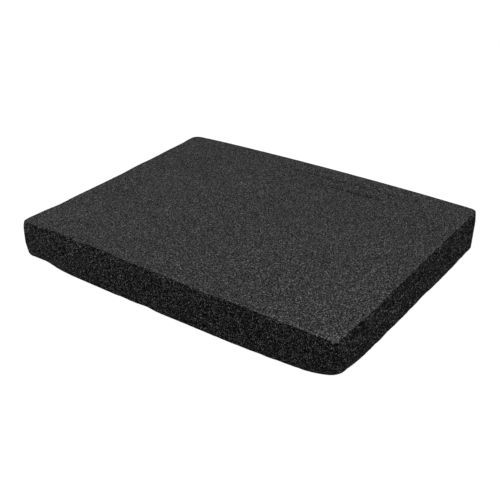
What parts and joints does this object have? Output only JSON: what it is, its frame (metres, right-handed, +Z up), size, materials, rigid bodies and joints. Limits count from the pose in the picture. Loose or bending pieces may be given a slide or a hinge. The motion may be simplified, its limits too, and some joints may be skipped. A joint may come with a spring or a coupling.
{
  "type": "foam mat",
  "caption": "Rectangular open-cell foam pad with flat faces, sawn walls, crisp rims and slightly rounded, drawn-in corners; a soft rest for bench work or packing.",
  "frame": {"origin": "under the middle of the mat's box, on the plane that it rests on", "axes": "+X along the length, towards the right; +Y from the front wall to the bowed back wall; +Z up through the thickness"},
  "size_m": [0.2518, 0.1992, 0.03],
  "materials": {
    "charcoal_foam": "charcoal open-cell foam, fine matt grain on the skived faces, darker and rougher open cells on the sawn walls"
  },
  "bodies": {
    "root": {"foam_mat": "charcoal_foam"}
  },
  "joints": []
}
